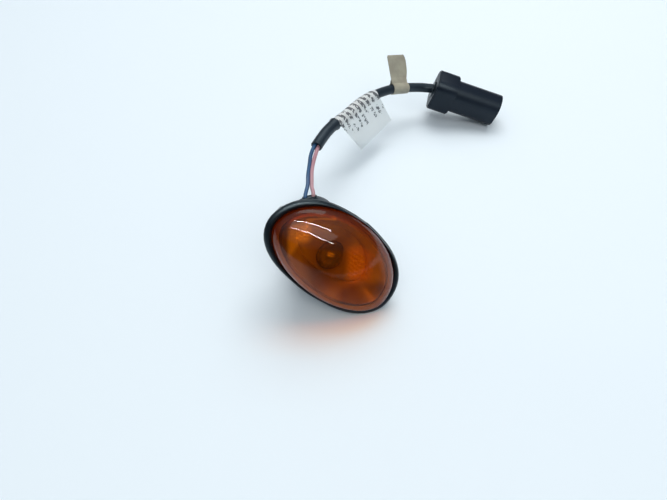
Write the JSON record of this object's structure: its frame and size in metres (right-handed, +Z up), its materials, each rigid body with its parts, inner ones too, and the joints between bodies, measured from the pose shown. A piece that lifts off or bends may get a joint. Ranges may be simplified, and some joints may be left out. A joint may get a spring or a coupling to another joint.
{
  "type": "vehicle indicator lamp",
  "caption": "Oval amber side indicator lamp with rubber surround, bulb holder, short sleeved two-wire lead, wrap label, loop tag and two-way connector.",
  "frame": {"origin": "centre of the lamp's seat on the car's panel, on the axis of the bulb holder", "axes": "+X along the lens, towards its fixed hook; +Y back into the car, away from the lens; +Z up"},
  "size_m": [0.1054, 0.1355, 0.1339],
  "materials": {
    "amber_lens": "gloss",
    "soft_rubber": "satin",
    "black_plastic": "satin",
    "bright_reflector": "mirror",
    "spring_steel": "satin",
    "clear_glass": "gloss",
    "tinned_brass": "satin",
    "blue_insulation": "satin",
    "pink_insulation": "satin",
    "white_label": "satin",
    "beige_tag": "matt",
    "rust_rubber": "satin"
  },
  "bodies": {
    "root": {"lens": "amber_lens", "surround": "soft_rubber", "lamp_body": "black_plastic", "reflector": "bright_reflector", "panel_clip": "spring_steel", "bulb": "clear_glass", "bulb_holder": "black_plastic", "holder_seal": "rust_rubber", "bulb_contact_left": "tinned_brass", "bulb_contact_right": "tinned_brass", "wire_outlet": "soft_rubber", "blue_wire": "blue_insulation", "pink_wire": "pink_insulation", "cable_sleeve": "soft_rubber", "sleeve_cover": "soft_rubber", "wrap_label": "white_label", "loop_tag": "beige_tag", "connector_body": "black_plastic", "rear_seal": "soft_rubber", "pin_upper": "tinned_brass", "pin_lower": "tinned_brass", "pin_lock": "rust_rubber", "mouth_seal": "rust_rubber"}
  },
  "joints": []
}
